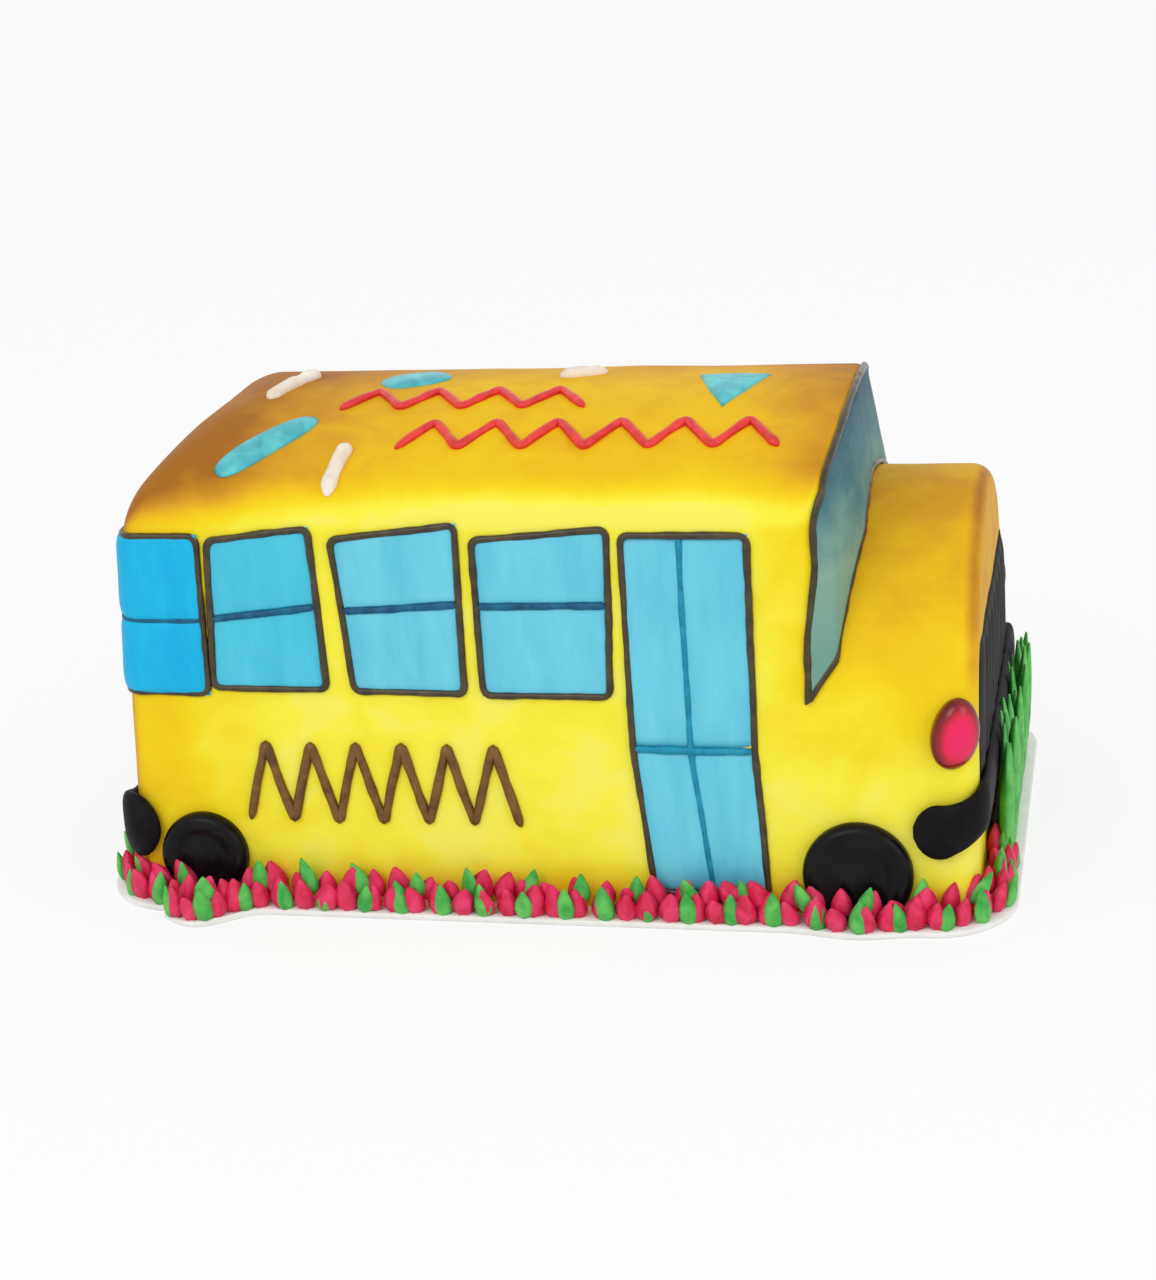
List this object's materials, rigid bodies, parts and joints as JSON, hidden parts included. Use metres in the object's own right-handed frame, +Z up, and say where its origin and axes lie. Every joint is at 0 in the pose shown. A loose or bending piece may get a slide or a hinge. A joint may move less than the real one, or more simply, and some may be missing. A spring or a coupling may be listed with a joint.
{
  "type": "bus-shaped novelty cake",
  "caption": "Novelty cake shaped and iced as a school bus, on a card with a piped leaf border, for display on a table",
  "frame": {"origin": "on the table, under the middle of the cake card", "axes": "+X points to the bonnet at the bus's front, +Y to the side without the door, +Z up"},
  "size_m": [0.3588, 0.2328, 0.1871],
  "materials": {
    "yellow_icing": "smooth sugar icing, airbrushed from yellow to golden orange on the roof, soft sheen",
    "window_icing": "hand-brushed sky blue icing",
    "brown_piping": "thin dark brown piped line, slightly uneven",
    "black_icing": "wet-looking black icing",
    "lamp_gel": "glossy red gel with a darker rim",
    "red_leaf_icing": "piped buttercream with fine ridges",
    "green_leaf_icing": "piped buttercream with fine ridges",
    "red_piping": "red piped line with a soft shine",
    "turquoise_piping": "turquoise piped line",
    "white_icing": "plain white icing",
    "card": "smooth white cake card"
  },
  "bodies": {
    "root": {"border_green_leaves": "green_leaf_icing", "border_red_leaves": "red_leaf_icing", "cabin_cake": "yellow_icing", "cake_card": "card", "chalk_sticks": "white_icing", "door_lights": "window_icing", "door_outline": "brown_piping", "door_rails": "window_icing", "far_wheels": "black_icing", "far_window_1_lights": "window_icing", "far_window_1_outline": "brown_piping", "far_window_2_lights": "window_icing", "far_window_2_outline": "brown_piping", "far_window_3_lights": "window_icing", "far_window_3_outline": "brown_piping", "far_window_4_lights": "window_icing", "far_window_4_outline": "brown_piping", "far_window_5_lights": "window_icing", "far_window_5_outline": "brown_piping", "far_window_rails": "window_icing", "far_zigzag": "brown_piping", "front_bumper": "black_icing", "grille": "black_icing", "hood_cake": "yellow_icing", "lamps": "lamp_gel", "near_wheels": "black_icing", "near_window_1_lights": "window_icing", "near_window_1_outline": "brown_piping", "near_window_2_lights": "window_icing", "near_window_2_outline": "brown_piping", "near_window_3_lights": "window_icing", "near_window_3_outline": "brown_piping", "near_window_4_lights": "window_icing", "near_window_4_outline": "brown_piping", "near_window_rails": "window_icing", "near_zigzag": "brown_piping", "rear_bumper": "black_icing", "roof_outlines": "turquoise_piping", "roof_zigzags": "red_piping", "tail_hatch_light": "window_icing", "tail_hatch_outline": "brown_piping", "windscreen_outline": "brown_piping", "windscreen_pane": "window_icing"}
  },
  "joints": []
}
